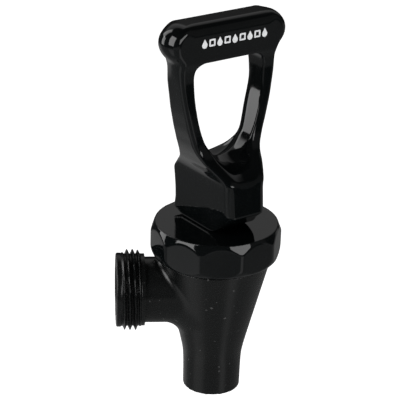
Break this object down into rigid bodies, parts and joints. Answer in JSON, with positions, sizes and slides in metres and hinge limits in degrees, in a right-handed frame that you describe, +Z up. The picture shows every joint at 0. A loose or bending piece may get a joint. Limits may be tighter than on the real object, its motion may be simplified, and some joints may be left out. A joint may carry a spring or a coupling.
{
  "type": "beverage dispenser tap",
  "caption": "Black plastic self-closing drinks tap with an upright loop handle, a many-sided bonnet nut, a tapered body and a threaded side inlet.",
  "frame": {"origin": "centre of the inlet's end face, on the inlet thread's axis", "axes": "+Z up along the valve's axis, -X out of the threaded inlet, +Y completes the right-handed frame"},
  "size_m": [0.0537, 0.0404, 0.1274],
  "materials": {
    "body": "semi-gloss moulded black",
    "gloss_black": "high-gloss moulded black",
    "silicone": "translucent white silicone",
    "stainless": "drawn and stamped stainless steel",
    "acetal": "natural moulded acetal",
    "ink": "pad-printed white ink"
  },
  "bodies": {
    "tap_body": {"body": "body", "bonnet": "gloss_black", "seat_cup": "silicone", "spring": "stainless", "spring_washer_top": "stainless"},
    "plunger": {"spring_washer_bottom": "stainless"},
    "stem_turning": {"stem": "acetal"},
    "handle_group": {"handle": "gloss_black", "hinge_pin": "stainless", "grip_mark": "ink"}
  },
  "joints": [
    {"name": "stem_lift", "type": "slide", "parent": "tap_body", "child": "plunger", "axis": [0, 0, 1], "range_m": [0, 0.00349], "stiffness_N_per_m": 300, "springref_m": -0.0053, "deforming": ["spring", "seat_cup"]},
    {"name": "handle_swivel", "type": "hinge", "parent": "plunger", "child": "stem_turning", "pos_m": [0.0321, 0, 0], "axis": [0, 0, 1], "continuous": true},
    {"name": "handle_tilt", "type": "hinge", "parent": "stem_turning", "child": "handle_group", "pos_m": [0.0321, 0, 0.0318], "axis": [0.8549, 0.5188, 0], "range_deg": [0, 40]}
  ],
  "couplings": [
    {"joint": "handle_tilt", "follows": "stem_lift", "rad_per_m": 200}
  ]
}
